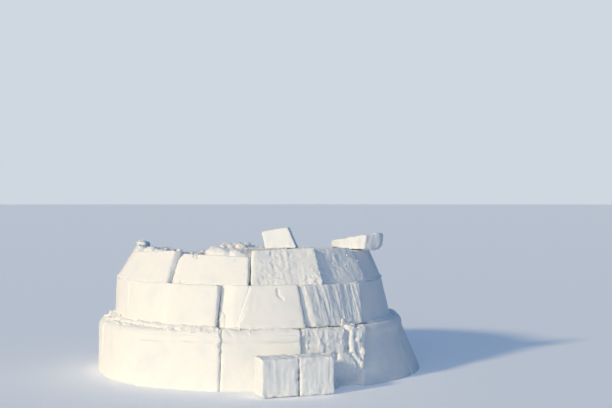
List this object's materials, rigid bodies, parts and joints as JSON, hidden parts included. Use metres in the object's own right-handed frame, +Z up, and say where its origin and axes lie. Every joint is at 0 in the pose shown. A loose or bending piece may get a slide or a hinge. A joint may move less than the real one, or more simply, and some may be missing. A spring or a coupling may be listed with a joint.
{
  "type": "part-built snow-block igloo",
  "caption": "Open ring of leaning snow-block courses: an igloo under construction, with loose blocks on the wall and at its foot.",
  "frame": {"origin": "on the ground, under the middle of everything that stands on it", "axes": "+Z up, +X to the right and +Y away from the picture's camera"},
  "size_m": [3.2358, 3.5127, 1.4083],
  "materials": {
    "wall_snow": "wind-packed snow, sawn and trimmed with a snow spade, matt with a soft glow",
    "loose_block_snow": "freshly sawn wind-packed snow, matt and slightly crumbly"
  },
  "bodies": {
    "root": {"block_being_set": "loose_block_snow", "first_course_block_01": "wall_snow", "first_course_block_02": "wall_snow", "first_course_block_03": "wall_snow", "first_course_block_04": "wall_snow", "first_course_block_05": "wall_snow", "first_course_block_06": "wall_snow", "first_course_block_07": "wall_snow", "first_course_block_08": "wall_snow", "first_course_block_09": "wall_snow", "first_course_block_10": "wall_snow", "first_course_block_11": "wall_snow", "first_course_block_12": "wall_snow", "first_course_block_13": "wall_snow", "second_course_block_01": "wall_snow", "second_course_block_02": "wall_snow", "second_course_block_03": "wall_snow", "second_course_block_04": "wall_snow", "second_course_block_05": "wall_snow", "second_course_block_06": "wall_snow", "second_course_block_07": "wall_snow", "second_course_block_08": "wall_snow", "second_course_block_09": "wall_snow", "second_course_block_10": "wall_snow", "second_course_block_11": "wall_snow", "second_course_block_12": "wall_snow", "second_course_block_13": "wall_snow", "second_course_block_14": "wall_snow", "slab_across_wall": "loose_block_snow", "spare_block_left": "loose_block_snow", "spare_block_right": "loose_block_snow", "third_course_block_01": "wall_snow", "third_course_block_02": "wall_snow", "third_course_block_03": "wall_snow", "third_course_block_04": "wall_snow", "third_course_block_05": "wall_snow", "third_course_block_06": "wall_snow", "third_course_block_07": "wall_snow", "third_course_block_08": "wall_snow", "third_course_block_09": "wall_snow", "third_course_block_10": "wall_snow", "third_course_block_11": "wall_snow", "third_course_block_12": "wall_snow"}
  },
  "joints": []
}
